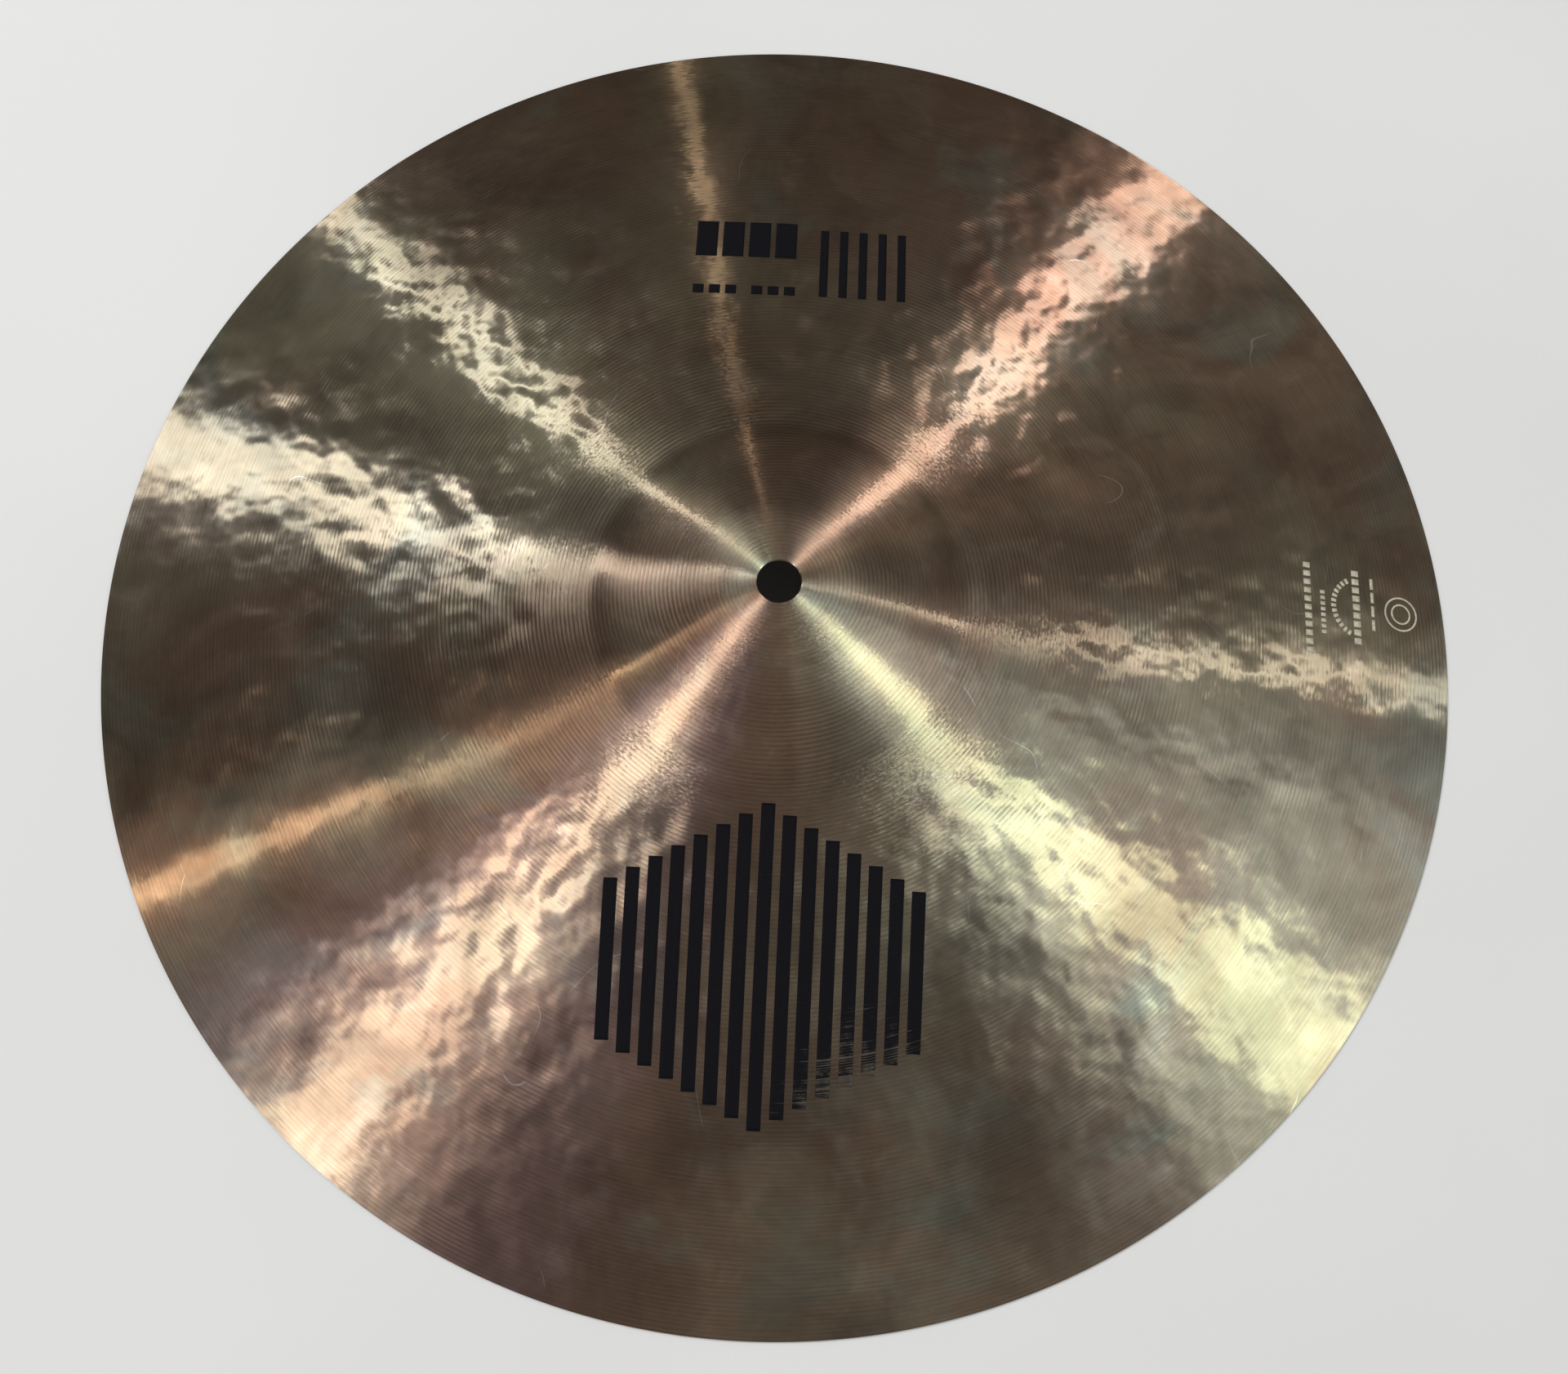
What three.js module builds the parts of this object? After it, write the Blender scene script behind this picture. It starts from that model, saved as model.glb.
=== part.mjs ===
// Crash cymbal: one round plate of cast bronze, 16 inches across, with a domed bell,
// a shallow bow and a plain centre hole. It lies rim down, on the plane z = 0.
// Millimetres, +Z up, with the origin on the hole's axis in the plane of the rim.

import * as THREE from 'three';

// Overall size
const RIM_RADIUS = 203.2; // 16 inch diameter
const HEIGHT = 44;

// Bell: the dome in the middle, with a level crown where the stand's felts clamp it
const HOLE_RADIUS = 6.35; // half-inch hole
const HOLE_CHAMFER = 0.3;
const CROWN_RADIUS = 11;
const BELL_RADIUS = 53.5;
const BELL_HEIGHT = 13.5;
const BELL_FILLET = 8;

// Plate thickness, which thins steadily from the crown to the edge
const CROWN_THICKNESS = 1.0;
const EDGE_THICKNESS = 0.7;

// Edge: a low upright lip, eased at both corners
const EDGE_HEIGHT = 0.55;
const EDGE_EASE = 0.12;

// Steps along each stretch of the section, and around the axis
const BELL_STEPS = 7;
const FILLET_STEPS = 3;
const BOW_STEPS = 9;
const TURN_STEPS = 88;

const BRONZE = { color: 0x7a6c50, roughness: 0.38, metalness: 1 };

// Where the upper surface's arcs meet, in the section's plane: x is the radius, y the height
const bellEdge = new THREE.Vector2(BELL_RADIUS, HEIGHT - BELL_HEIGHT);
const lipTop = new THREE.Vector2(RIM_RADIUS, EDGE_HEIGHT);

// The bell's arc leaves the crown level and reaches the bell's edge.
function bellCircle() {
  const run = BELL_RADIUS - CROWN_RADIUS;
  const radius = (run ** 2 + BELL_HEIGHT ** 2) / (2 * BELL_HEIGHT);
  return { centre: new THREE.Vector2(CROWN_RADIUS, HEIGHT - radius), radius };
}

// The bow's arc is centred on the axis and runs from the bell's edge to the top of the lip.
function bowCircle() {
  const height = (lipTop.lengthSq() - bellEdge.lengthSq()) / (2 * (lipTop.y - bellEdge.y));
  const centre = new THREE.Vector2(0, height);
  return { centre, radius: centre.distanceTo(lipTop) };
}

// The fillet's circle rolls in the corner between bell and bow, touching both from above.
function filletCircle(bell, bow) {
  const toBell = bell.radius + BELL_FILLET;
  const toBow = bow.radius + BELL_FILLET;
  const line = bell.centre.clone().sub(bow.centre);
  const apart = line.length();
  const along = (apart ** 2 + toBow ** 2 - toBell ** 2) / (2 * apart);
  const aside = Math.sqrt(toBow ** 2 - along ** 2);
  line.normalize();
  const outward = new THREE.Vector2(line.y, -line.x);
  const centre = bow.centre.clone().addScaledVector(line, along).addScaledVector(outward, aside);
  return { centre, radius: BELL_FILLET };
}

function direction(from, to) {
  return Math.atan2(to.y - from.y, to.x - from.x);
}

// Points and upward normals along an arc; side is 1 where it bulges up and -1 where it is hollow.
function arc(circle, start, end, steps, side) {
  const out = [];
  for (let i = 0; i <= steps; i++) {
    const angle = start + ((end - start) * i) / steps;
    const ray = new THREE.Vector2(Math.cos(angle), Math.sin(angle));
    const point = circle.centre.clone().addScaledVector(ray, circle.radius);
    out.push({ point, normal: ray.multiplyScalar(side) });
  }
  return out;
}

// The upper surface, from the crown's edge outwards to the lip
function upperSurface() {
  const bell = bellCircle();
  const bow = bowCircle();
  const fillet = filletCircle(bell, bow);
  const bellEnd = direction(bell.centre, fillet.centre);
  const bowStart = direction(bow.centre, fillet.centre);
  const bowEnd = direction(bow.centre, lipTop);
  return [
    ...arc(bell, Math.PI / 2, bellEnd, BELL_STEPS, 1),
    ...arc(fillet, bellEnd - Math.PI, bowStart - Math.PI, FILLET_STEPS, -1).slice(1, -1),
    ...arc(bow, bowStart, bowEnd, BOW_STEPS, 1),
  ];
}

function thicknessAt(radius) {
  const share = (radius - CROWN_RADIUS) / (RIM_RADIUS - CROWN_RADIUS);
  return THREE.MathUtils.lerp(CROWN_THICKNESS, EDGE_THICKNESS, share);
}

// The place on the underside that lies square to the upper surface, one thickness in
function underside({ point, normal }) {
  return point.clone().addScaledVector(normal, -thicknessAt(point.x));
}

// Where a line from a to b crosses the plane that the cymbal rests on
function atRestPlane(a, b) {
  return a.clone().lerp(b, a.y / (a.y - b.y));
}

// The closed section: over the top, down the lip, back underneath and up the hole's wall
function section() {
  const upper = upperSurface();
  const top = upper.map((place) => place.point);
  const below = upper.map(underside);
  const lastTop = top.pop();
  const lastBelow = below.pop();
  const floorInner = atRestPlane(below.at(-1), lastBelow);
  const bottom = HEIGHT - CROWN_THICKNESS;
  const easedTop = lastTop.clone().lerp(top.at(-1), EDGE_EASE / (lastTop.x - top.at(-1).x));
  return [
    new THREE.Vector2(HOLE_RADIUS, HEIGHT - HOLE_CHAMFER),
    new THREE.Vector2(HOLE_RADIUS + HOLE_CHAMFER, HEIGHT),
    ...top,
    easedTop,
    new THREE.Vector2(RIM_RADIUS, EDGE_HEIGHT - EDGE_EASE),
    new THREE.Vector2(RIM_RADIUS, EDGE_EASE),
    new THREE.Vector2(RIM_RADIUS - EDGE_EASE, 0),
    floorInner,
    ...below.reverse(),
    new THREE.Vector2(HOLE_RADIUS + HOLE_CHAMFER, bottom),
    new THREE.Vector2(HOLE_RADIUS, bottom + HOLE_CHAMFER),
    new THREE.Vector2(HOLE_RADIUS, HEIGHT - HOLE_CHAMFER),
  ];
}

// The section runs the other way round for the lathe, so that its faces look outwards.
const plate = new THREE.LatheGeometry(section().reverse(), TURN_STEPS);
plate.rotateX(Math.PI / 2);

const cymbal = new THREE.Mesh(plate, new THREE.MeshStandardMaterial(BRONZE));
cymbal.name = 'cymbal';

const group = new THREE.Group();
group.add(cymbal);

export default group;
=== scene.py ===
"""Looks of a hammered and lathed bronze crash cymbal, lying rim down on a pale studio floor."""

import math

import bpy
import numpy as np
from mathutils import Matrix, Vector


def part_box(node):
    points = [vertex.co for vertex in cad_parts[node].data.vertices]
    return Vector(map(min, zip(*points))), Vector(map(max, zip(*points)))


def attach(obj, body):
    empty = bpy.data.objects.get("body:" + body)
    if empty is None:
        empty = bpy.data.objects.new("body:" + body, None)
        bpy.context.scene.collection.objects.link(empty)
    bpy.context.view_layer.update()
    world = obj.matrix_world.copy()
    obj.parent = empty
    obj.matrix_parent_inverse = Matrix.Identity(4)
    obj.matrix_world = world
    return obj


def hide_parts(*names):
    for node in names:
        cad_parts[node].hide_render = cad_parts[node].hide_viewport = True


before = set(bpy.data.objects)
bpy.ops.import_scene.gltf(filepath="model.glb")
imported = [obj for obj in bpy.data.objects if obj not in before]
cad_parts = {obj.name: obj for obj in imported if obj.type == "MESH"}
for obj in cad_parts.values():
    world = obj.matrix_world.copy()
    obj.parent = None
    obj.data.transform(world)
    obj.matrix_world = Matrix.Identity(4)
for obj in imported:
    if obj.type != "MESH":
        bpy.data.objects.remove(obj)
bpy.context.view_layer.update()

MM = 0.001
NODE = "cymbal"
high_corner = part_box(NODE)[1]
RIM_RADIUS = high_corner.x
HEIGHT = high_corner.z

# The section that the CAD plate has, with the arcs drawn smooth
HOLE_RADIUS = 6.35 * MM
CROWN_RADIUS = 11 * MM
BELL_RADIUS = 53.5 * MM
BELL_HEIGHT = 13.5 * MM
BELL_FILLET = 8 * MM
EDGE_HEIGHT = 0.55 * MM
CROWN_THICKNESS = 1.0 * MM
EDGE_THICKNESS = 0.7 * MM
HOLE_EASE = 0.35 * MM
RIM_EASE = 0.15 * MM

# Mesh of the plate: steps round the axis, and the spacing of its rings above and below
TURN_STEPS = 448
UPPER_RING_GAP = 1.35 * MM
LOWER_RING_GAP = 3.2 * MM
EASE_STEPS = 4

# Hammer marks: rings of shallow dents over most of the bow
HAMMER_SEED = 7
HAMMER_START = 74 * MM
HAMMER_END = 197 * MM
HAMMER_PITCH = 8.5 * MM
HAMMER_SPACING = 1.15 * HAMMER_PITCH
HAMMER_JITTER = 3.0 * MM
HAMMER_RADIUS = (3.5 * MM, 7.0 * MM)
HAMMER_DEPTH = (0.01 * MM, 0.13 * MM)
HAMMER_REACH = 2.4
HAMMER_FADE = 5 * MM

# Azimuths near which the hammer did less, and how much less
CALM = ((103, 0.8), (209, 0.8), (355, 0.35))
CALM_CORE = 5
CALM_EDGE = 14

# Printed and stamped marks stand this much above the metal, and reach this much into it
MARK_LIFT = 0.045 * MM
MARK_SINK = 0.03 * MM
MARK_CELL = 1.2 * MM
ARC_CELL = 0.4 * MARK_CELL

# Large print: upright bars whose ends step along a hexagon
LARGE_MIDDLE = -104.5 * MM
LARGE_HALF_HEIGHT = 44 * MM
LARGE_BARS_EACH_SIDE = 7
LARGE_PITCH = 6.1 * MM
LARGE_WIDTH = 3.9 * MM
LARGE_DROP = 0.52

# Small print, in millimetres: four bold bars, five tall ones and a row of short ones
BOLD_X = (-27.6, -19.4, -11.2, -3.0)
BOLD_SPAN = (113.5, 127)
BOLD_WIDTH = 6.6
TALL_X = (9, 15, 21, 27, 33)
TALL_SPAN = (99.5, 125)
TALL_WIDTH = 2.6
ROW_X = (-31, -26, -21, -13, -8, -3)
ROW_Y = 101
ROW_LENGTH = 3.4
ROW_WIDTH = 3.2

# Stamp, in millimetres: two rings, rows of dashes (x, first y, last y, dash, gap, width) and an
# arc of dashes, whose angles are in degrees
STAMP_CENTRE = (188.4, 12.6)
STAMP_RINGS = (5.2, 3.0)
STAMP_LINE = 0.55
STAMP_ROWS = (
    (157.8, -3.6, 24.0, 1.7, 1.0, 2.2),
    (162.6, 3.0, 17.0, 1.1, 0.7, 1.5),
    (173.6, 1.0, 25.0, 1.9, 0.8, 2.3),
    (179.0, 6.0, 20.0, 3.4, 1.0, 1.0),
)
STAMP_ARC_CENTRE = (175.5, 12.6)
STAMP_ARC_RADIUS = 9.4
STAMP_ARC_WIDTH = 1.6
STAMP_ARC_ANGLES = range(118, 243, 10)
STAMP_ARC_DASH = 6

# Lathe grooves: pitch in millimetres, how far they wander in radians of it, and slopes across them
CUT_PITCH = 1.2
CUT_WANDER = 9.0
CUT_SLOPE = 0.08
UNEVEN_SLOPE = 0.25

# How far the finest grooves spread a reflection: across the grooves and along them
BELL_ACROSS = 0.32
BOW_ACROSS = 0.12
ALONG = 0.006
CRISP_SHARE = 0.72

# Soft unevenness left by the hammer: heights in millimetres, and noise scale, detail, roughness
# and distortion
BROAD_ROLL = 0.2
BROAD_NOISE = (0.03, 1.0, 0.35, 0.3)
SHORT_ROLL = 0.17
SHORT_NOISE = (0.15, 1.0, 0.3, 0.0)

# The bell leans this much towards +y, and the inner part of the bow less. The side of the bell
# at one azimuth is turned a little more.
BELL_LEAN = 0.015
BOW_LEAN = 0.01
TURNED_AZIMUTH = 182
TURNED_SLOPE = 0.042

# The crown's edge is eased by this slope, so that it isn't quite level
CROWN_SLOPE = 0.08

# Changes over the radius: from where to where in millimetres, and the value before and after
ROLL_STARTS = (56.0, 94.0, 0.15, 1.0)
ROLL_ENDS = (150.0, 190.0, 1.0, 0.6)
CROWN_EASING = (8.0, 19.0, CROWN_SLOPE, 0.0)
LEAN_BY_RADIUS = (45.0, 60.0, BELL_LEAN, BOW_LEAN)
LEAN_ENDS = (90.0, 170.0, 1.0, 0.0)
LEAN_STARTS = (10.0, 42.0, 0.15, 1.0)
TURN_ENDS = (42.0, 58.0, 1.0, 0.0)
BELL_GRAIN = (45.0, 110.0, 0.055, 0.0)
CROWN_GRAIN = (15.0, 27.0, 0.12, 0.0)
CROWN_ALONG = (14.0, 27.0, 0.008, 0.0)
ACROSS = (42.0, 62.0, BELL_ACROSS, BOW_ACROSS)
# How strongly light and dark lines along the lathe grooves are painted into the colour: painted shade and
# highlight of the cut, stronger on the bell
PAINTED_GROOVE_LINES = (45.0, 75.0, 0.2, 0.095)
# Brightness painted into the colour by radius, brighter on the bell and crown and a little on the outer
# bow: painted sheen that evens out the reflections
BELL_PAINTED_BRIGHTNESS = (47.0, 58.0, 1.15, 0.94)
CROWN_PAINTED_BRIGHTNESS = (17.0, 26.0, 0.3, 0.0)
BOW_PAINTED_BRIGHTNESS = (70.0, 110.0, 0.0, 0.06)

# Clouds: offset of the noise in millimetres, scale, detail, roughness, distortion, and the two
# noise values between which the cloud fades in
OLIVE_CLOUD = ((0.0, 0.0, 0.0), 0.011, 4.0, 0.55, 0.8, 0.4, 0.62)
SAGE_CLOUD = ((310.0, 40.0, 0.0), 0.016, 4.0, 0.6, 0.7, 0.5, 0.66)
WIPED_CLOUD = ((0.0, 170.0, 90.0), 0.034, 5.0, 0.62, 1.1, 0.5, 0.8)
SMOKE_CLOUD = ((90.0, -210.0, 0.0), 0.022, 5.0, 0.6, 0.9, 0.3, 0.7)
SHEEN_CLOUD = ((0.0, 0.0, 0.0), 0.05, 4.0, 0.6, 0.5, 0.3, 0.7)

# Changes over a noise: between which noise values, and the value before and after
GROOVE_DEPTH = (0.35, 0.65, 0.35, 1.0)
GRAIN_DEPTH = (0.4, 0.65, 0.012, 0.04)
STRAY_TONE = (0.3, 0.7, 0.94, 1.06)
# Lighter and darker streaks along the grooves, painted into the colour as the sheen of the grain
PAINTED_STREAK_TONE = (0.3, 0.7, 0.93, 1.07)
SMOKE_TONE = (0.74, 1.26)
SOFT_ROUGHNESS = (0.278, 0.3)
WIPED_SHARE = 0.7

# The turned side of the bell: from where to where in cosines of the angle to its middle
TURNED_SIDE = (0.8, 0.95, 0.0, -TURNED_SLOPE)

# Linear colours
OLIVE = (0.5, 0.385, 0.26, 1)
UMBER = (0.46, 0.3, 0.205, 1)
SAGE = (0.45, 0.385, 0.285, 1)
WIPED = (0.7, 0.52, 0.38, 1)
# Near-white of the scratches and specks: partly bare metal, partly painted glint
BRIGHT_CUT_AND_GLINT = (0.98, 0.9, 0.78, 1)
INK_BLACK = (0.006, 0.0055, 0.0075, 1)
WORN_INK = (0.1, 0.082, 0.062, 1)
STAMP_DARK = (0.62, 0.55, 0.4, 1)
STAMP_LIGHT = (0.86, 0.8, 0.64, 1)
FLOOR_DARK = (0.74, 0.74, 0.73, 1)
FLOOR_LIGHT = (0.77, 0.77, 0.76, 1)
WORLD_PALE = (0.66, 0.66, 0.66, 1)
DIM = (0.066, 0.065, 0.062)

# Hair scratches: offset, scale and half width of the contour lines that they follow. Specks: scale
# of the cells that hold them, the sizes between which they fade, and which cells have one.
HAIRS = (((15.0, 70.0, 0.0), 0.014, 0.0003), ((220.0, 5.0, 60.0), 0.024, 0.0005))
SPECK_SCALE = 0.11
SPECK_SIZE = (0.012, 0.024)
SPECK_PICK = (0.86, 0.9)
# How far the scratches and specks take the near-white of bare metal and painted glint
SCRATCH_SHARE = 0.6

# The ink is worn near this point, in millimetres: wear by the distance from it, patches that add
# to it, and between which sums of wear and groove noise the metal shows
WORN_POINT = (34.0, -146.0, 0.0)
WEAR_BY_DISTANCE = (42.0, 4.0, 0.0, 0.5)
WEAR_PATCHES = (0.35, 0.75, -0.1, 0.1)
WEAR_SHOWS = (-0.24, -0.1)

# Camera: looks down past the near rim, turned a little clockwise
LENS = 40.49
SENSOR = 36.0
CLIP = (0.01, 100)
CAMERA_TILT = math.radians(16.364)
CAMERA_ROLL = math.radians(2.688)
CAMERA_DISTANCE = 530.6 * MM
CAMERA_AIM = Vector((2.75 * MM, -17.94 * MM, 0))

# A broad lamp that lights only what is matt, and so shades the floor
KEY_PLACE = Vector((-1.3, 1.0, 1.9))
KEY_SIZE = 1.2
KEY_POWER = 26

# Large soft lamps: name, azimuth and lean of the two ends, width, colour and power
LAMP_DISTANCE = 2.5
LAMPS = (
    ("softbox_left", (236, 0.55), (236, 0.9), 0.9, (0.96, 0.94, 1.0), 0.6),
    ("softbox_right", (324, 0.55), (324, 0.9), 1.1, (0.9, 0.97, 1.0), 0.8),
)

# How the surroundings change with the lean of the half-way direction between eye and light
GLOW_OPENING = (0.02, 0.13, 0.2, 1.0)
GLOW_LIFT = (0.25, 0.7, 1.35, 0.86)
DIM_LIFT = (0.5, 0.95, 1.0, 1.25)

# Bright lines in the surroundings, each of which draws a streak: azimuth, offset of the line from
# the middle, half width in degrees, colour and strength
GLOWS = (
    (48.8, 0, 4.5, (1.0, 0.86, 0.87), 2.4),
    (50, 0, 12, (1.0, 0.88, 0.9), 0.1),
    (103.4, 0, 1.0, (1.0, 0.87, 0.72), 0.9),
    (142, 0, 2.2, (0.84, 1.0, 1.04), 2.75),
    (144, 0, 8, (0.8, 0.9, 1.5), 0.03),
    (166, -0.045, 5, (0.88, 1.0, 1.06), 2.8),
    (167, -0.045, 10, (0.84, 0.9, 1.4), 0.12),
    (210, 0, 9, (1.0, 0.9, 0.88), 0.17),
    (206.5, -0.03, 1.4, (1.0, 0.86, 0.66), 2.2),
    (223, 0, 8, (0.9, 0.86, 1.3), 0.2),
    (232.5, 0, 5.8, (0.97, 0.96, 0.9), 1.95),
    (233, 0, 13, (0.94, 0.93, 0.98), 0.55),
    (239, 0, 22, (0.82, 0.78, 1.35), 0.12),
    (270, 0, 20, (1.0, 0.97, 1.0), 0.065),
    (290, 0, 14, (0.72, 0.92, 1.0), 0.11),
    (323.5, 0.02, 6.5, (0.76, 1.0, 0.78), 2.05),
    (321, 0.02, 14, (0.74, 1.0, 1.05), 0.52),
    (325, 0, 31, (0.7, 0.92, 1.12), 0.38),
    (336, 0, 10, (0.72, 0.95, 1.1), 0.22),
    (353.9, 0, 1.6, (0.92, 1.0, 1.0), 2.0),
    (349, 0, 18, (0.85, 0.97, 1.03), 0.1),
    (16, 0, 16, (0.72, 0.9, 0.92), 0.045),
    (26, 0, 3, (0.9, 1.0, 0.85), 0.04),
    (36, 0, 18, (0.85, 0.95, 0.85), 0.03),
)

FLOOR_HALF = 8.0


# ---------------------------------------------------------------- the plate's shape

def circles():
    """Centre (radius, height) and radius of the bell's, fillet's and bow's arcs."""
    edge_z = HEIGHT - BELL_HEIGHT
    run = BELL_RADIUS - CROWN_RADIUS
    bell_r = (run**2 + BELL_HEIGHT**2) / (2 * BELL_HEIGHT)
    bell_c = np.array([CROWN_RADIUS, HEIGHT - bell_r])
    rim_sq = RIM_RADIUS**2 + EDGE_HEIGHT**2
    bow_z = (rim_sq - BELL_RADIUS**2 - edge_z**2) / (2 * (EDGE_HEIGHT - edge_z))
    bow_c = np.array([0.0, bow_z])
    bow_r = math.hypot(RIM_RADIUS, EDGE_HEIGHT - bow_z)
    to_bell, to_bow = bell_r + BELL_FILLET, bow_r + BELL_FILLET
    line = bell_c - bow_c
    apart = np.linalg.norm(line)
    line = line / apart
    along = (apart**2 + to_bow**2 - to_bell**2) / (2 * apart)
    aside = math.sqrt(to_bow**2 - along**2)
    fillet_c = bow_c + line * along + np.array([line[1], -line[0]]) * aside
    return (bell_c, bell_r), (fillet_c, BELL_FILLET), (bow_c, bow_r)


BELL, FILLET, BOW = circles()
BELL_END = BELL[0][0] + (FILLET[0][0] - BELL[0][0]) * BELL[1] / (BELL[1] + FILLET[1])
BOW_START = FILLET[0][0] * BOW[1] / (BOW[1] + FILLET[1])


def smooth_top(r):
    """Height of the upper surface at radius r, before hammering."""
    r = np.asarray(r, float)

    def circle(shape, side):
        (cr, cz), radius = shape
        return cz + side * np.sqrt(np.maximum(radius**2 - (r - cr) ** 2, 0))

    return np.select(
        [r < CROWN_RADIUS, r < BELL_END, r < BOW_START],
        [np.full_like(r, HEIGHT), circle(BELL, 1), circle(FILLET, -1)],
        circle(BOW, 1),
    )


def calmness(angle):
    """Share of the full hammering at these angles: it is light near the calm azimuths."""
    share = np.ones_like(angle)
    for azimuth, less in CALM:
        off = np.degrees(np.arccos(np.cos(angle - math.radians(azimuth))))
        inside = np.clip((CALM_EDGE - off) / (CALM_EDGE - CALM_CORE), 0, 1)
        share = np.minimum(share, 1 - less * inside)
    return share


def hammer_marks():
    """Places (x, y), radii and depths of the dents, ring by ring."""
    rng = np.random.default_rng(HAMMER_SEED)
    rows = []
    for ring in np.arange(HAMMER_START, HAMMER_END, HAMMER_PITCH):
        count = int(2 * math.pi * ring / HAMMER_SPACING)
        angle = 2 * math.pi * (np.arange(count) + rng.random()) / count
        spread = rng.normal(0, HAMMER_JITTER, (2, count))
        angle = angle + spread[0] / ring
        radius = np.clip(ring + spread[1], HAMMER_START, HAMMER_END)
        size = rng.uniform(*HAMMER_RADIUS, count)
        depth = rng.uniform(*HAMMER_DEPTH, count) * calmness(angle)
        rows.append(np.c_[radius * np.cos(angle), radius * np.sin(angle), size, depth])
    return np.concatenate(rows)


MARKS = hammer_marks()


def hammering(x, y):
    """How far the hammer has pushed the plate down at each point."""
    x, y = np.asarray(x, float), np.asarray(y, float)
    sunk = np.zeros_like(x)
    for mx, my, size, depth in MARKS:
        reach = HAMMER_REACH * size
        near = (np.abs(x - mx) < reach) & (np.abs(y - my) < reach)
        away = ((x[near] - mx) ** 2 + (y[near] - my) ** 2) / size**2
        sunk[near] += depth * np.exp(-away)
    edge = np.clip((RIM_RADIUS - np.hypot(x, y)) / HAMMER_FADE, 0, 1)
    return sunk * edge


def thickness(r):
    share = np.clip((r - CROWN_RADIUS) / (RIM_RADIUS - CROWN_RADIUS), 0, 1)
    return CROWN_THICKNESS + (EDGE_THICKNESS - CROWN_THICKNESS) * share


def top_height(x, y):
    return smooth_top(np.hypot(x, y)) - hammering(x, y)


def corner(radius, height, out, up, angles):
    """Rings round an eased corner, level at angle 0. They take none of the hammering."""
    return [(radius + out * math.sin(a), height + up * (1 - math.cos(a)), 0) for a in angles]


def section():
    """The plate's closed section as rings (radius, height, how much of the hammering it takes)."""
    ease = np.linspace(0, math.pi / 2, EASE_STEPS + 1)
    hole_in, rim_out = HOLE_RADIUS + HOLE_EASE, RIM_RADIUS - RIM_EASE
    hole = corner(hole_in, HEIGHT, -HOLE_EASE, -HOLE_EASE, ease[::-1])
    lip = corner(rim_out, float(smooth_top(rim_out)), RIM_EASE, -RIM_EASE, ease[1:])
    foot = [(rim_out + RIM_EASE * math.cos(a), RIM_EASE * (1 - math.sin(a)), 0) for a in ease]
    wall = corner(hole_in, HEIGHT - CROWN_THICKNESS, -HOLE_EASE, HOLE_EASE, ease[1:])

    upper_r = np.linspace(hole_in, rim_out, int((rim_out - hole_in) / UPPER_RING_GAP))[1:]
    upper = list(zip(upper_r, smooth_top(upper_r), np.ones_like(upper_r)))
    lower_r = np.linspace(rim_out, hole_in, int((rim_out - hole_in) / LOWER_RING_GAP))[1:]
    slope = np.gradient(smooth_top(lower_r), lower_r)
    lower_z = smooth_top(lower_r) - thickness(lower_r) * np.sqrt(1 + slope**2)
    lower = list(zip(lower_r, np.maximum(lower_z, 0), np.ones_like(lower_r)))
    return np.array(hole + upper + lip + foot + lower + wall)


def mesh_object(name, vertices, faces):
    mesh = bpy.data.meshes.new(name)
    mesh.from_pydata([tuple(v) for v in vertices], [], [tuple(f) for f in faces])
    mesh.polygons.foreach_set("use_smooth", [True] * len(mesh.polygons))
    mesh.update()
    thing = bpy.data.objects.new(name, mesh)
    bpy.context.scene.collection.objects.link(thing)
    return thing


def build_plate():
    rings = section()
    angle = 2 * math.pi * np.arange(TURN_STEPS) / TURN_STEPS
    x = rings[:, :1] * np.cos(angle)
    y = rings[:, :1] * np.sin(angle)
    z = rings[:, 1:2] - rings[:, 2:3] * hammering(x, y)
    vertices = np.stack([x, y, np.maximum(z, 0)], -1).reshape(-1, 3)
    i = np.arange(len(rings))[:, None]
    j = np.arange(TURN_STEPS)[None, :]
    here, after = i * TURN_STEPS, (i + 1) % len(rings) * TURN_STEPS
    j2 = (j + 1) % TURN_STEPS
    quads = np.stack([here + j, after + j, after + j2, here + j2], -1)
    return mesh_object("cymbal_plate", vertices, quads.reshape(-1, 4))


# ---------------------------------------------------------------- printed and stamped marks

def bar(x0, y0, x1, y1, width):
    """Plan points of a straight bar as a grid, from one end to the other."""
    run = Vector((x1 - x0, y1 - y0))
    length = run.length
    side = Vector((-run.y, run.x)) / length
    nu = max(2, math.ceil(length / MARK_CELL) + 1)
    nv = max(2, math.ceil(width / MARK_CELL) + 1)
    u = np.linspace(0, 1, nu)[:, None]
    v = np.linspace(-width / 2, width / 2, nv)[None, :]
    return np.stack([x0 + run.x * u + side.x * v, y0 + run.y * u + side.y * v], -1)


def upright(x, span, width):
    """A bar that stands at x, in millimetres."""
    return bar(x * MM, span[0] * MM, x * MM, span[1] * MM, width * MM)


def arc_band(centre, radius, width, start, end):
    """Plan points of a band along an arc, from centre, radius and width in millimetres."""
    length = abs(math.radians(end - start)) * radius * MM
    a = np.radians(np.linspace(start, end, max(8, math.ceil(length / ARC_CELL))))[:, None]
    r = radius * MM + np.linspace(width * MM / 2, -width * MM / 2, 3)[None, :]
    return np.stack([centre[0] * MM + r * np.cos(a), centre[1] * MM + r * np.sin(a)], -1)


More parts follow.
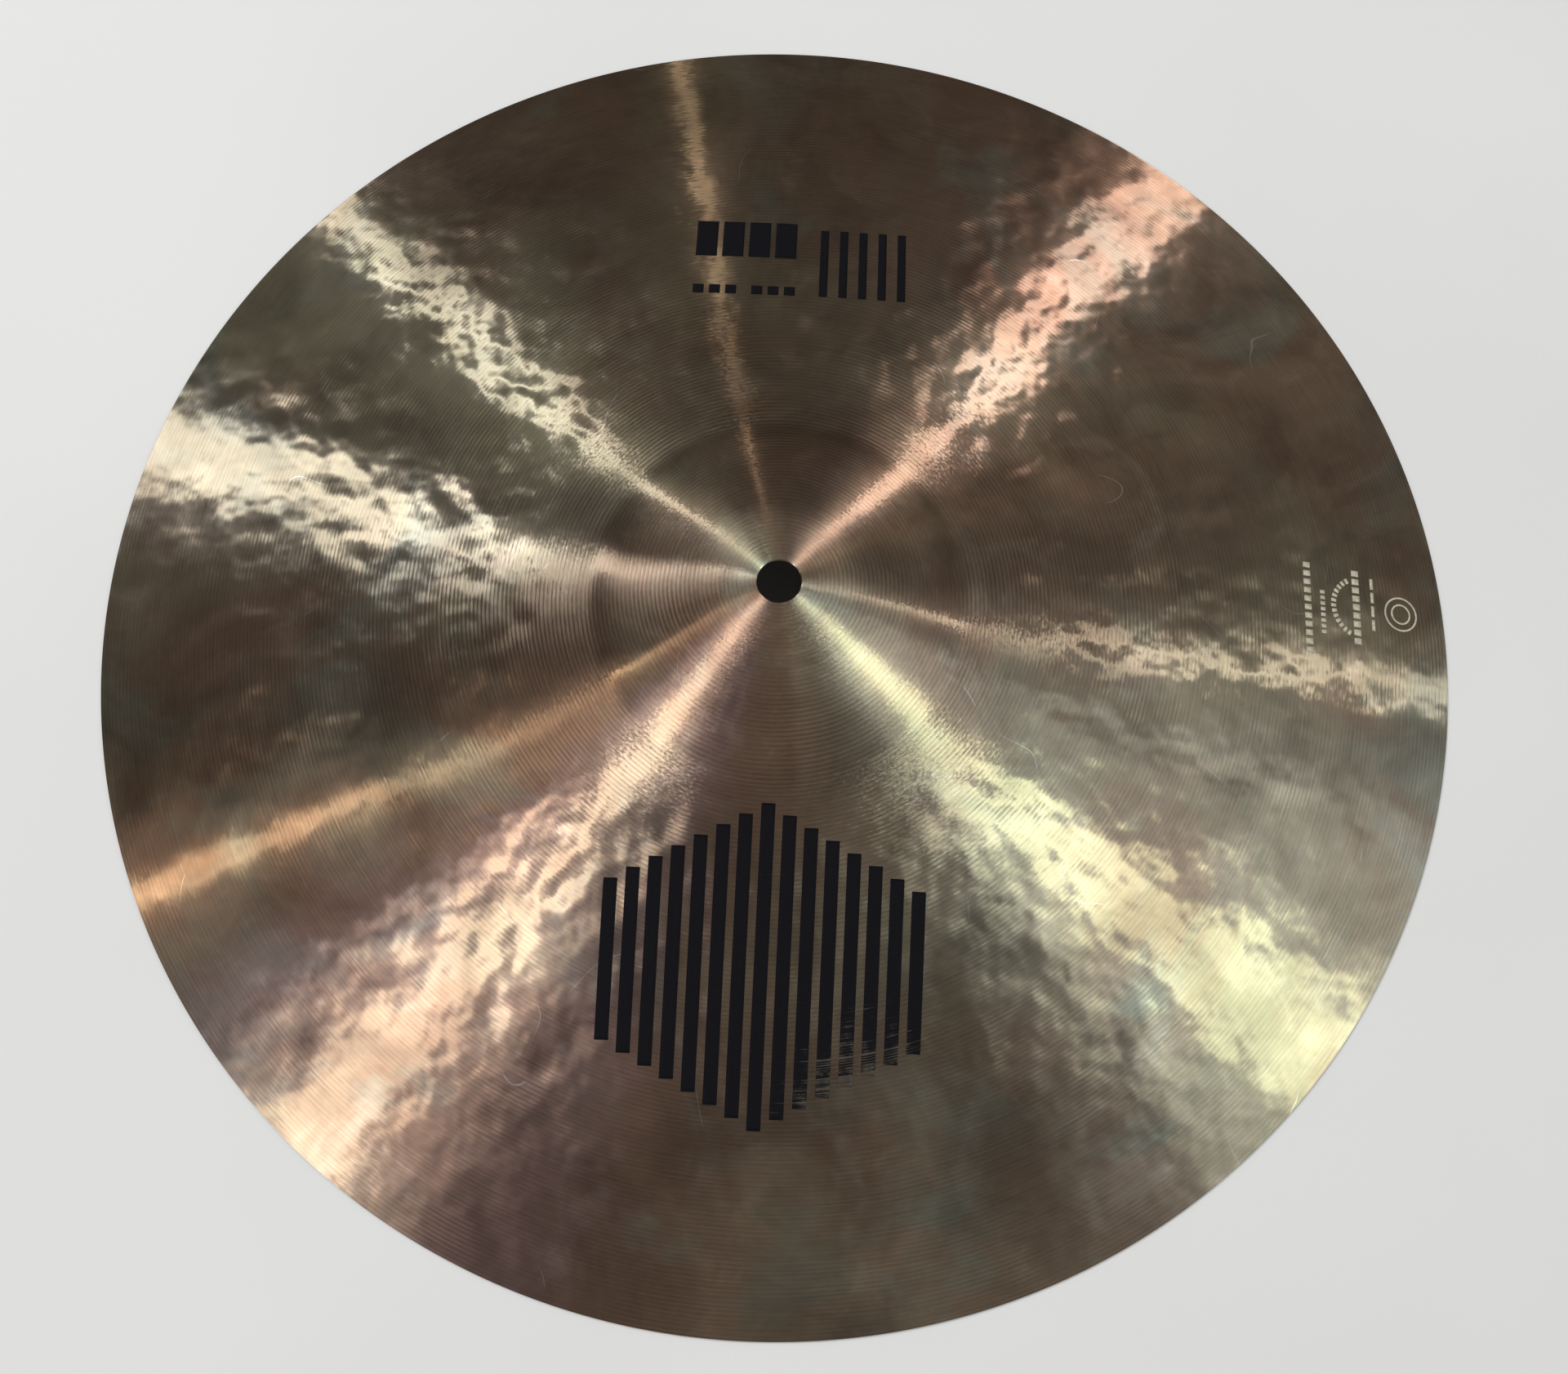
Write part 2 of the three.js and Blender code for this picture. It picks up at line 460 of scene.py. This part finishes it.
def mark_object(name, grids):
    """Thin closed tiles that lie on the hammered metal, one for each plan grid."""
    vertices, faces = [], []
    base = 0
    for grid in grids:
        nu, nv = grid.shape[:2]
        x, y = grid[..., 0], grid[..., 1]
        z = top_height(x, y)
        for lift in (MARK_LIFT, -MARK_SINK):
            vertices.append(np.stack([x, y, z + lift], -1).reshape(-1, 3))
        i, j = np.meshgrid(np.arange(nu - 1), np.arange(nv - 1), indexing="ij")
        a = base + i * nv + j
        top = np.stack([a, a + nv, a + nv + 1, a + 1], -1).reshape(-1, 4)
        under = top[:, ::-1] + nu * nv
        faces += top.tolist() + under.tolist()
        edge = [*range(0, nu * nv, nv), *range((nu - 1) * nv + 1, nu * nv)]
        edge += [*range((nu - 1) * nv - 1, 0, -nv), *range(nv - 2, 0, -1)]
        for p, q in zip(edge, edge[1:] + edge[:1]):
            faces.append((base + q, base + p, base + p + nu * nv, base + q + nu * nv))
        base += 2 * nu * nv
    return mesh_object(name, np.concatenate(vertices), faces)


def large_print():
    """Upright bars whose ends step along a plain hexagon, below the bell."""
    bars = []
    for x in np.arange(-LARGE_BARS_EACH_SIDE, LARGE_BARS_EACH_SIDE + 1) * LARGE_PITCH:
        drop = LARGE_DROP * abs(x)
        low = LARGE_MIDDLE - LARGE_HALF_HEIGHT + drop
        high = LARGE_MIDDLE + LARGE_HALF_HEIGHT - drop
        bars.append(bar(x, low, x, high, LARGE_WIDTH))
    return bars


def small_print():
    """Blocks of plain bars above the bell: four bold, five tall and a row of small ones."""
    bold = [upright(x, BOLD_SPAN, BOLD_WIDTH) for x in BOLD_X]
    tall = [upright(x, TALL_SPAN, TALL_WIDTH) for x in TALL_X]
    row = [bar(x * MM, ROW_Y * MM, (x + ROW_LENGTH) * MM, ROW_Y * MM, ROW_WIDTH * MM) for x in ROW_X]
    return bold + tall + row


def stamp():
    """Two rings and rows of short dashes, pressed near the edge and read from outside."""
    grids = [arc_band(STAMP_CENTRE, radius, STAMP_LINE, 0, 360) for radius in STAMP_RINGS]
    for x, first, last, dash, gap, width in STAMP_ROWS:
        for y in np.arange(first, last, dash + gap):
            grids.append(upright(x, (y, y + dash), width))
    for a in STAMP_ARC_ANGLES:
        grids.append(arc_band(STAMP_ARC_CENTRE, STAMP_ARC_RADIUS, STAMP_ARC_WIDTH, a, a + STAMP_ARC_DASH))
    return grids


# ---------------------------------------------------------------- materials

def unit(azimuth):
    """The level direction at this azimuth, in degrees."""
    return math.cos(math.radians(azimuth)), math.sin(math.radians(azimuth)), 0


class Tree:
    """Short names for the shader nodes of a material or of the world."""

    def __init__(self, owner):
        owner.use_nodes = True
        self.owner = owner
        self.nodes = owner.node_tree.nodes
        self.links = owner.node_tree.links
        self.shader = self.nodes.get("Principled BSDF")

    def put(self, socket, value):
        if isinstance(value, bpy.types.NodeSocket):
            self.links.new(value, socket)
        else:
            socket.default_value = value

    def node(self, kind, **values):
        made = self.nodes.new(kind)
        for key, value in values.items():
            setattr(made, key, value)
        return made

    def math(self, operation, *inputs):
        made = self.node("ShaderNodeMath", operation=operation)
        for socket, value in zip(made.inputs, inputs):
            self.put(socket, value)
        return made.outputs[0]

    def vector(self, operation, *inputs):
        made = self.node("ShaderNodeVectorMath", operation=operation)
        for socket, value in zip(made.inputs, inputs):
            self.put(socket, value)
        return made.outputs["Value" if operation in ("LENGTH", "DOT_PRODUCT") else "Vector"]

    def scaled(self, vector, factor):
        made = self.node("ShaderNodeVectorMath", operation="SCALE")
        self.put(made.inputs[0], vector)
        self.put(made.inputs["Scale"], factor)
        return made.outputs["Vector"]

    def noise(self, vector, scale, detail=3.0, rough=0.55, warp=0.0):
        made = self.node("ShaderNodeTexNoise", noise_dimensions="3D")
        self.put(made.inputs["Vector"], vector)
        values = {"Scale": scale, "Detail": detail, "Roughness": rough, "Distortion": warp}
        for key, value in values.items():
            made.inputs[key].default_value = value
        return made.outputs["Fac"]

    def noise_along(self, w, scale, detail=2.0, rough=0.6):
        made = self.node("ShaderNodeTexNoise", noise_dimensions="1D")
        self.put(made.inputs["W"], w)
        for key, value in {"Scale": scale, "Detail": detail, "Roughness": rough}.items():
            made.inputs[key].default_value = value
        return made.outputs["Fac"]

    def spread(self, value, low, high, to_low=0.0, to_high=1.0):
        made = self.node("ShaderNodeMapRange", interpolation_type="SMOOTHSTEP")
        values = {"From Min": low, "From Max": high, "To Min": to_low, "To Max": to_high}
        for key, number in values.items():
            made.inputs[key].default_value = number
        self.put(made.inputs["Value"], value)
        return made.outputs["Result"]

    def cloud(self, mm, look, to_low=0.0, to_high=1.0):
        shift, scale, detail, rough, warp, low, high = look
        noise = self.noise(self.vector("ADD", mm, shift), scale, detail, rough, warp)
        return self.spread(noise, low, high, to_low, to_high)

    def mix(self, factor, a, b, blend="MIX"):
        made = self.node("ShaderNodeMix", data_type="RGBA", blend_type=blend)
        self.put(made.inputs["Factor"], factor)
        self.put(made.inputs[6], a)
        self.put(made.inputs[7], b)
        return made.outputs[2]


def plate_space(tree):
    """Position in millimetres, radius from the axis, and the unit direction away from the axis."""
    place = tree.node("ShaderNodeTexCoord").outputs["Object"]
    mm = tree.scaled(place, 1 / MM)
    flat = tree.vector("MULTIPLY", mm, (1, 1, 0))
    return mm, tree.vector("LENGTH", flat), tree.vector("NORMALIZE", flat)


def swirl(tree, radius, outward, around, across):
    """Noise space that is stretched along the grooves: features per radian, and per millimetre."""
    return tree.vector("ADD", tree.scaled(outward, around), tree.scaled((0.0, 0.0, across), radius))


def lathe_lines(tree, mm, radius, phase=0.0):
    """The regular cut of the lathe, from -1 in a groove to 1 on a ridge, deeper in some places."""
    wander = tree.math("MULTIPLY_ADD", tree.noise(mm, 0.02, 2.0), CUT_WANDER, phase)
    turn = tree.math("MULTIPLY_ADD", radius, 2 * math.pi / CUT_PITCH, wander)
    depth = tree.spread(tree.noise(mm, 0.03, 3.0), *GROOVE_DEPTH)
    return tree.math("MULTIPLY", tree.math("SINE", turn), depth)


def groove_slope(tree, mm, radius):
    """Slope across the lathe grooves: a regular cut with a finer, uneven one inside it."""
    cut = tree.math("MULTIPLY", lathe_lines(tree, mm, radius, math.pi / 2), CUT_SLOPE)
    uneven = tree.math("SUBTRACT", tree.noise_along(radius, 2.3, 2.0), 0.5)
    return tree.math("ADD", cut, tree.math("MULTIPLY", uneven, UNEVEN_SLOPE))


def grain_slope(tree, mm, radius, outward):
    """Slope along the grooves, from short scratches that follow them: rougher on the crown."""
    grain = tree.noise(swirl(tree, radius, outward, 60.0, 2.4), 1.0, 2.0, 0.6)
    patchy = tree.spread(tree.noise(mm, 0.02, 3.0), *GRAIN_DEPTH)
    dome = tree.math("ADD", tree.spread(radius, *BELL_GRAIN), tree.spread(radius, *CROWN_GRAIN))
    return tree.math("MULTIPLY", tree.math("SUBTRACT", grain, 0.5), tree.math("ADD", patchy, dome))


def rolled_normal(tree, mm, radius, outward):
    """The normal of the bow, rolled by the soft texture that the hammer has left."""
    hammered = tree.math("MULTIPLY", tree.spread(radius, *ROLL_STARTS), tree.spread(radius, *ROLL_ENDS))
    edge, core = math.cos(math.radians(CALM_EDGE)), math.cos(math.radians(CALM_CORE))
    for azimuth, less in CALM:
        near = tree.vector("DOT_PRODUCT", outward, unit(azimuth))
        hammered = tree.math("MULTIPLY", hammered, tree.spread(near, edge, core, 1.0, 1 - less))
    broad = tree.math("MULTIPLY", tree.noise(mm, *BROAD_NOISE), BROAD_ROLL)
    short = tree.math("MULTIPLY", tree.noise(mm, *SHORT_NOISE), SHORT_ROLL)
    roll = tree.node("ShaderNodeBump")
    roll.inputs["Strength"].default_value = 1.0
    roll.inputs["Distance"].default_value = MM
    tree.put(roll.inputs["Height"], tree.math("MULTIPLY", tree.math("ADD", broad, short), hammered))
    return roll.outputs["Normal"]


def leaning(tree, radius, outward, around):
    """The slope by which the bell and the inner bow stand a little out of true."""
    lean = tree.math("MULTIPLY", tree.spread(radius, *LEAN_BY_RADIUS), tree.spread(radius, *LEAN_ENDS))
    near = tree.vector("DOT_PRODUCT", outward, unit(TURNED_AZIMUTH))
    turned = tree.spread(near, *TURNED_SIDE)
    turned = tree.math("MULTIPLY", turned, tree.spread(radius, *TURN_ENDS))
    both = tree.vector("ADD", tree.scaled((0.0, 1.0, 0.0), lean), tree.scaled(around, turned))
    return tree.scaled(both, tree.spread(radius, *LEAN_STARTS))


def lathed_normal(tree, mm, radius, outward):
    """The surface normal, rolled and leaning, and tilted by the grooves and scratches."""
    around = tree.vector("CROSS_PRODUCT", (0.0, 0.0, 1.0), outward)
    rolled = rolled_normal(tree, mm, radius, outward)
    base = tree.vector("ADD", rolled, leaning(tree, radius, outward, around))
    slope = tree.math("ADD", groove_slope(tree, mm, radius), tree.spread(radius, *CROWN_EASING))
    across = tree.scaled(outward, slope)
    along = tree.scaled(around, grain_slope(tree, mm, radius, outward))
    tilted = tree.vector("ADD", base, tree.vector("ADD", across, along))
    return tree.vector("NORMALIZE", tilted)


def scratches(tree, mm):
    """Short hair scratches, cut from the contour lines of two smooth noises, and tiny specks. They mask a
    near-white colour that is partly bare metal and partly a painted glint.
    """
    found = 0.0
    for shift, scale, width in HAIRS:
        place = tree.vector("ADD", mm, shift)
        off = tree.math("SUBTRACT", tree.noise(place, scale, 1.0, 0.4), 0.5)
        line = tree.spread(tree.math("ABSOLUTE", off), width, 2.2 * width, 1.0, 0.0)
        kept = tree.spread(tree.noise(place, 0.045, 2.0), 0.6, 0.66)
        found = tree.math("MAXIMUM", tree.math("MULTIPLY", line, kept), found)
    cells = tree.node("ShaderNodeTexVoronoi", feature="F1")
    tree.put(cells.inputs["Vector"], mm)
    cells.inputs["Scale"].default_value = SPECK_SCALE
    near = tree.spread(cells.outputs["Distance"], *SPECK_SIZE, 1.0, 0.0)
    pick = tree.vector("DOT_PRODUCT", cells.outputs["Color"], (1.0, 0.0, 0.0))
    specks = tree.math("MULTIPLY", near, tree.spread(pick, *SPECK_PICK))
    return tree.math("MAXIMUM", found, specks)


def patina(tree, mm, radius, outward):
    """Cloudy bronze: olive brown, with purple-brown and grey-green clouds, scratches and rings. The rings
    and the streaks along the grooves are painted shade and highlight of the lathe cut, the brightness by
    radius is a painted sheen, and the scratches are partly painted glints.
    """
    colour = tree.mix(tree.cloud(mm, OLIVE_CLOUD), UMBER, OLIVE)
    colour = tree.mix(tree.cloud(mm, SAGE_CLOUD), colour, SAGE)
    colour = tree.mix(tree.math("MULTIPLY", tree.cloud(mm, WIPED_CLOUD), WIPED_SHARE), colour, WIPED)
    tone = tree.cloud(mm, SMOKE_CLOUD, *SMOKE_TONE)
    # Rings of painted shade and highlight along the lathe grooves, times a real tone that strays along the
    # radius
    lines = lathe_lines(tree, mm, radius)
    rings = tree.math("MULTIPLY_ADD", lines, tree.spread(radius, *PAINTED_GROOVE_LINES), 1.0)
    stray = tree.spread(tree.noise_along(radius, 2.2, 2.0, 0.8), *STRAY_TONE)
    rings = tree.math("MULTIPLY", rings, stray)
    # Painted sheen: lighter and darker streaks along the grooves
    painted_streaks = tree.noise(swirl(tree, radius, outward, 14.0, 1.7), 1.0, 3.0, 0.7)
    painted_streaks = tree.spread(painted_streaks, *PAINTED_STREAK_TONE)
    # Painted sheen: the colour made brighter by radius, on the bell, the crown and the outer bow
    painted_brightness = tree.math("ADD", tree.spread(radius, *BELL_PAINTED_BRIGHTNESS), tree.spread(radius, *CROWN_PAINTED_BRIGHTNESS))
    painted_brightness = tree.math("ADD", painted_brightness, tree.spread(radius, *BOW_PAINTED_BRIGHTNESS))
    tone = tree.math("MULTIPLY", tree.math("MULTIPLY", tone, painted_brightness), tree.math("MULTIPLY", rings, painted_streaks))
    colour = tree.mix(1.0, colour, tree.scaled((1.0, 1.0, 1.0), tone), "MULTIPLY")
    # Scratches and specks in near-white: partly bare metal, partly painted glint
    return tree.mix(tree.math("MULTIPLY", scratches(tree, mm), SCRATCH_SHARE), colour, BRIGHT_CUT_AND_GLINT)


def bronze():
    """Metal with a soft sheen and a crisp one: both reach far across the grooves, not along them."""
    tree = Tree(bpy.data.materials.new("lathed_bronze"))
    mm, radius, outward = plate_space(tree)
    colour = patina(tree, mm, radius, outward)
    normal = lathed_normal(tree, mm, radius, outward)
    tangent = tree.node("ShaderNodeTangent", direction_type="RADIAL", axis="Z").outputs[0]
    soft = tree.shader
    soft.inputs["Metallic"].default_value = 1.0
    soft.inputs["Anisotropic"].default_value = 1.0
    soft.inputs["Anisotropic Rotation"].default_value = 0.25
    tree.put(soft.inputs["Roughness"], tree.cloud(mm, SHEEN_CLOUD, *SOFT_ROUGHNESS))
    crisp = tree.node("ShaderNodeBsdfAnisotropic", distribution="GGX")
    along = tree.math("ADD", tree.spread(radius, *CROWN_ALONG), ALONG)
    across = tree.spread(radius, *ACROSS)
    tree.put(crisp.inputs["Roughness"], tree.math("POWER", tree.math("MULTIPLY", along, across), 0.25))
    thin = tree.math("SQRT", tree.math("DIVIDE", along, across))
    tree.put(crisp.inputs["Anisotropy"], tree.math("SUBTRACT", 1.0, thin))
    for sheen, socket in ((soft, "Base Color"), (crisp, "Color")):
        tree.put(sheen.inputs[socket], colour)
        tree.put(sheen.inputs["Tangent"], tangent)
        tree.put(sheen.inputs["Normal"], normal)
    both = tree.node("ShaderNodeMixShader")
    both.inputs["Fac"].default_value = CRISP_SHARE
    tree.put(both.inputs[1], soft.outputs["BSDF"])
    tree.put(both.inputs[2], crisp.outputs["BSDF"])
    tree.put(tree.nodes["Material Output"].inputs["Surface"], both.outputs["Shader"])
    return tree.owner


def ink():
    """Matt black ink, worn through in thin lines along the grooves near one corner."""
    tree = Tree(bpy.data.materials.new("printing_ink"))
    mm, radius, outward = plate_space(tree)
    lines = tree.noise_along(radius, 1.6, 3.0, 0.8)
    flat = tree.vector("MULTIPLY", mm, (1, 1, 0))
    distance = tree.vector("LENGTH", tree.vector("SUBTRACT", flat, WORN_POINT))
    worn = tree.spread(distance, *WEAR_BY_DISTANCE)
    patch = tree.spread(tree.noise(mm, 0.12, 4.0, 0.7), *WEAR_PATCHES)
    gone = tree.spread(tree.math("SUBTRACT", tree.math("ADD", worn, patch), lines), *WEAR_SHOWS)
    tree.put(tree.shader.inputs["Base Color"], tree.mix(gone, INK_BLACK, WORN_INK))
    tree.put(tree.shader.inputs["Metallic"], tree.math("MULTIPLY", gone, 0.4))
    tree.put(tree.shader.inputs["Roughness"], tree.spread(gone, 0.0, 1.0, 0.6, 0.45))
    tree.shader.inputs["Specular IOR Level"].default_value = 0.08
    tree.put(tree.shader.inputs["Normal"], lathed_normal(tree, mm, radius, outward))
    return tree.owner


def pressed_metal():
    """Bare bronze, matt where the stamp has crushed it."""
    tree = Tree(bpy.data.materials.new("pressed_metal"))
    mm, _, _ = plate_space(tree)
    grain = tree.spread(tree.noise(mm, 1.1, 3.0, 0.7), 0.35, 0.7)
    tree.put(tree.shader.inputs["Base Color"], tree.mix(grain, STAMP_DARK, STAMP_LIGHT))
    tree.shader.inputs["Metallic"].default_value = 0.55
    tree.shader.inputs["Roughness"].default_value = 0.6
    return tree.owner


def floor_material():
    tree = Tree(bpy.data.materials.new("studio_floor"))
    mm, _, _ = plate_space(tree)
    tone = tree.spread(tree.noise(mm, 0.004, 3.0), 0.3, 0.7)
    tree.put(tree.shader.inputs["Base Color"], tree.mix(tone, FLOOR_DARK, FLOOR_LIGHT))
    tree.shader.inputs["Roughness"].default_value = 0.8
    tree.shader.inputs["Specular IOR Level"].default_value = 0.2
    return tree.owner


# ---------------------------------------------------------------- camera, lamps and floor

def camera_axes():
    forward = Vector((0, math.sin(CAMERA_TILT), -math.cos(CAMERA_TILT)))
    level = forward.cross(Vector((0, 1, 0))).normalized()
    upward = level.cross(forward)
    right = math.cos(CAMERA_ROLL) * level + math.sin(CAMERA_ROLL) * upward
    up = math.cos(CAMERA_ROLL) * upward - math.sin(CAMERA_ROLL) * level
    return forward, right, up


def add_camera():
    forward, right, up = camera_axes()
    data = bpy.data.cameras.new("camera")
    data.lens, data.sensor_width = LENS, SENSOR
    data.clip_start, data.clip_end = CLIP
    camera = bpy.data.objects.new("camera", data)
    turn = Matrix((right, up, -forward)).transposed().to_4x4()
    camera.matrix_world = Matrix.Translation(CAMERA_AIM - forward * CAMERA_DISTANCE) @ turn
    bpy.context.scene.collection.objects.link(camera)
    bpy.context.scene.camera = camera
    return camera.matrix_world.translation.copy()


def lamp_place(view, azimuth, lean):
    """Where light must stand for the grooves to draw a streak at this azimuth. The lean is how far
    the half-way direction between eye and light tips that way."""
    out = unit(azimuth)
    x = lean * out[0] - view.x
    y = lean * out[1] - view.y
    return Vector((x, y, math.sqrt(max(1 - x * x - y * y, 0.01)))) * LAMP_DISTANCE


def add_lamp(name, start, end, width, colour, power):
    """A long soft lamp, from one place to another, that faces the cymbal."""
    middle, run = (start + end) / 2, end - start
    away = middle.normalized()
    along = (run - away * run.dot(away)).normalized()
    data = bpy.data.lights.new(name, "AREA")
    data.shape, data.size, data.size_y = "ELLIPSE", run.length, width
    data.color, data.energy = colour, power
    lamp = bpy.data.objects.new(name, data)
    turn = Matrix((along, away.cross(along), away)).transposed().to_4x4()
    lamp.matrix_world = Matrix.Translation(middle) @ turn
    lamp.visible_camera = False
    bpy.context.scene.collection.objects.link(lamp)


def add_key():
    data = bpy.data.lights.new("key", "AREA")
    data.shape, data.size, data.energy = "DISK", KEY_SIZE, KEY_POWER
    lamp = bpy.data.objects.new("key", data)
    lamp.location = KEY_PLACE
    lamp.rotation_euler = (-KEY_PLACE).to_track_quat("-Z", "Y").to_euler()
    lamp.visible_camera = lamp.visible_glossy = False
    bpy.context.scene.collection.objects.link(lamp)


def glow_light(tree, flat, view):
    """The light of all the glows. Each is a bright line through the direction that mirrors the view
    in a level plate, so its streak runs out from the hole."""
    light = (0.0, 0.0, 0.0)
    for azimuth, aside, half_width, colour, strength in GLOWS:
        out = unit(azimuth)
        shift = (view.x - aside * out[1], view.y + aside * out[0], 0)
        fan = tree.vector("NORMALIZE", tree.vector("ADD", flat, shift))
        near = tree.vector("DOT_PRODUCT", fan, out)
        share = tree.spread(near, math.cos(math.radians(half_width)), 1.0, 0.0, strength)
        light = tree.vector("ADD", light, tree.scaled(colour, share))
    return light


def add_world(view):
    """Pale surroundings for the eye and the floor, dim ones with glows in the metal's reflections.
    Below the floor they are black to what is matt, which keeps the hole dark."""
    world = bpy.data.worlds.new("studio")
    tree = Tree(world)
    world.cycles.sampling_method = "NONE"
    toward = tree.node("ShaderNodeTexCoord").outputs["Generated"]
    flat = tree.vector("MULTIPLY", toward, (1, 1, 0))
    lean = tree.vector("LENGTH", tree.vector("ADD", flat, (view.x, view.y, 0)))
    lift = tree.math("MULTIPLY", tree.spread(lean, *GLOW_OPENING), tree.spread(lean, *GLOW_LIFT))
    glows = tree.scaled(glow_light(tree, flat, view), lift)
    light = tree.vector("ADD", tree.scaled(DIM, tree.spread(lean, *DIM_LIFT)), glows)
    path = tree.node("ShaderNodeLightPath")
    height = tree.vector("DOT_PRODUCT", toward, (0.0, 0.0, 1.0))
    upwards = tree.math("GREATER_THAN", height, 0.0)
    direct = tree.math("LESS_THAN", path.outputs["Diffuse Depth"], 0.5)
    light = tree.scaled(light, tree.math("MAXIMUM", upwards, direct))
    seen = tree.mix(path.outputs["Is Glossy Ray"], WORLD_PALE, light)
    tree.put(tree.nodes["Background"].inputs["Color"], seen)
    bpy.context.scene.world = world
    bpy.context.scene.view_settings.view_transform = "Standard"


def add_floor(material):
    """A pale floor, which the metal doesn't mirror."""
    corners = [(x * FLOOR_HALF, y * FLOOR_HALF, 0) for x, y in ((-1, -1), (1, -1), (1, 1), (-1, 1))]
    mesh = bpy.data.meshes.new("floor")
    mesh.from_pydata(corners, [], [(0, 1, 2, 3)])
    mesh.materials.append(material)
    floor = bpy.data.objects.new("floor", mesh)
    floor.visible_glossy = False
    bpy.context.scene.collection.objects.link(floor)


# ---------------------------------------------------------------- the scene

eye = add_camera()
view = (eye - Vector((0, 0, HEIGHT))).normalized()
for name, start, end, width, colour, power in LAMPS:
    add_lamp(name, lamp_place(view, *start), lamp_place(view, *end), width, colour, power)
add_key()
add_world(view)
add_floor(floor_material())

plate = build_plate()
plate.data.materials.append(bronze())
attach(plate, "root")
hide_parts(NODE)

ink_material = ink()
for name, grids in (("print_large", large_print()), ("print_small", small_print())):
    piece = mark_object(name, grids)
    piece.data.materials.append(ink_material)
    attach(piece, "root")

pressed = mark_object("stamp", stamp())
pressed.data.materials.append(pressed_metal())
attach(pressed, "root")

bpy.context.view_layer.update()
